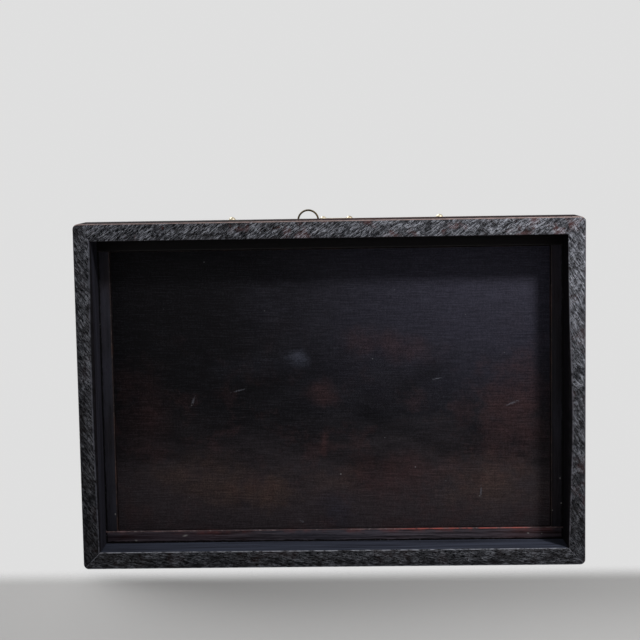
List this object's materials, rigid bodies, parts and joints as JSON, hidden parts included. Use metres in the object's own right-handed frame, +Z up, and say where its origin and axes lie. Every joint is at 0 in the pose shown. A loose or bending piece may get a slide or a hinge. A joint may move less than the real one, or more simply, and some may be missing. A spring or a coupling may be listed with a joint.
{
  "type": "ink stick and stone box",
  "caption": "Dark hardwood writing box on a mitred plinth, with a hinged lid over divided wells, a drawer with ring pulls, and a hasp with a locking pin.",
  "frame": {"origin": "on the table, under the middle of the whole part's bounding box", "axes": "+X to the right along the front, +Y from the front to the back, +Z up through the lid"},
  "size_m": [0.31, 0.2186, 0.114],
  "materials": {
    "plinth_wood": "worn dark hardwood, scraped",
    "bottom_wood": "dark hardwood, satin",
    "case_wood": "dark hardwood, polished satin",
    "inner_wood": "bare brown hardwood",
    "brass": "aged pale brass",
    "dark_brass": "darkened brass wire"
  },
  "bodies": {
    "case": {"plinth_front": "plinth_wood", "plinth_back": "plinth_wood", "plinth_left": "plinth_wood", "plinth_right": "plinth_wood", "bottom_rail_front": "bottom_wood", "bottom_rail_back": "bottom_wood", "bottom_stile_left": "bottom_wood", "bottom_stile_right": "bottom_wood", "bottom_panel": "bottom_wood", "case_front": "case_wood", "case_back": "case_wood", "case_left": "case_wood", "case_right": "case_wood", "compartment_floor": "inner_wood", "drawer_guide_left": "inner_wood", "drawer_guide_right": "inner_wood", "stone_divider": "inner_wood", "stick_divider": "inner_wood", "lock_post_left": "brass", "lock_post_right": "brass", "lock_washer_left": "brass", "lock_washer_right": "brass", "hinge_case_leaf_left": "brass", "hinge_case_leaf_right": "brass", "hinge_pin_left": "brass", "hinge_pin_right": "brass", "hinge_nails_case": "brass"},
    "lid": {"lid_front": "case_wood", "lid_back": "case_wood", "lid_left": "case_wood", "lid_right": "case_wood", "lid_rail_front": "case_wood", "lid_rail_back": "case_wood", "lid_stile_left": "case_wood", "lid_stile_right": "case_wood", "lid_panel": "case_wood", "hinge_lid_leaf_left": "brass", "hinge_lid_leaf_right": "brass", "hinge_nails_lid": "brass", "hasp_plate": "brass", "hasp_nails": "brass", "hasp_pin": "brass"},
    "drawer": {"drawer_front": "case_wood", "drawer_back": "inner_wood", "drawer_side_left": "inner_wood", "drawer_side_right": "inner_wood", "drawer_bottom": "inner_wood", "pull_post_left": "brass", "pull_post_right": "brass", "pull_washer_left": "brass", "pull_washer_right": "brass"},
    "ring_left": {"pull_ring_left": "brass"},
    "ring_right": {"pull_ring_right": "brass"},
    "hasp": {"hasp": "brass"},
    "pin": {"locking_pin": "dark_brass"}
  },
  "joints": [
    {"name": "lid_hinge", "type": "hinge", "parent": "case", "child": "lid", "pos_m": [0, 0.1074, 0.0802], "axis": [-1, 0, 0], "range_deg": [0, 180]},
    {"name": "drawer_slide", "type": "slide", "parent": "case", "child": "drawer", "axis": [0, -1, 0], "range_m": [0, 0.14]},
    {"name": "hasp_swing", "type": "hinge", "parent": "lid", "child": "hasp", "pos_m": [0.004, -0.1019, 0.0849], "axis": [-1, 0, 0], "range_deg": [0, 160]},
    {"name": "locking_pin_slide", "type": "slide", "parent": "case", "child": "pin", "axis": [-1, 0, 0], "range_m": [0, 0.005]},
    {"name": "ring_left_swing", "type": "hinge", "parent": "drawer", "child": "ring_left", "pos_m": [-0.0615, -0.1034, 0.0444], "axis": [-1, 0, 0], "range_deg": [0, 170]},
    {"name": "ring_right_swing", "type": "hinge", "parent": "drawer", "child": "ring_right", "pos_m": [0.0695, -0.1034, 0.0444], "axis": [-1, 0, 0], "range_deg": [0, 170]}
  ]
}
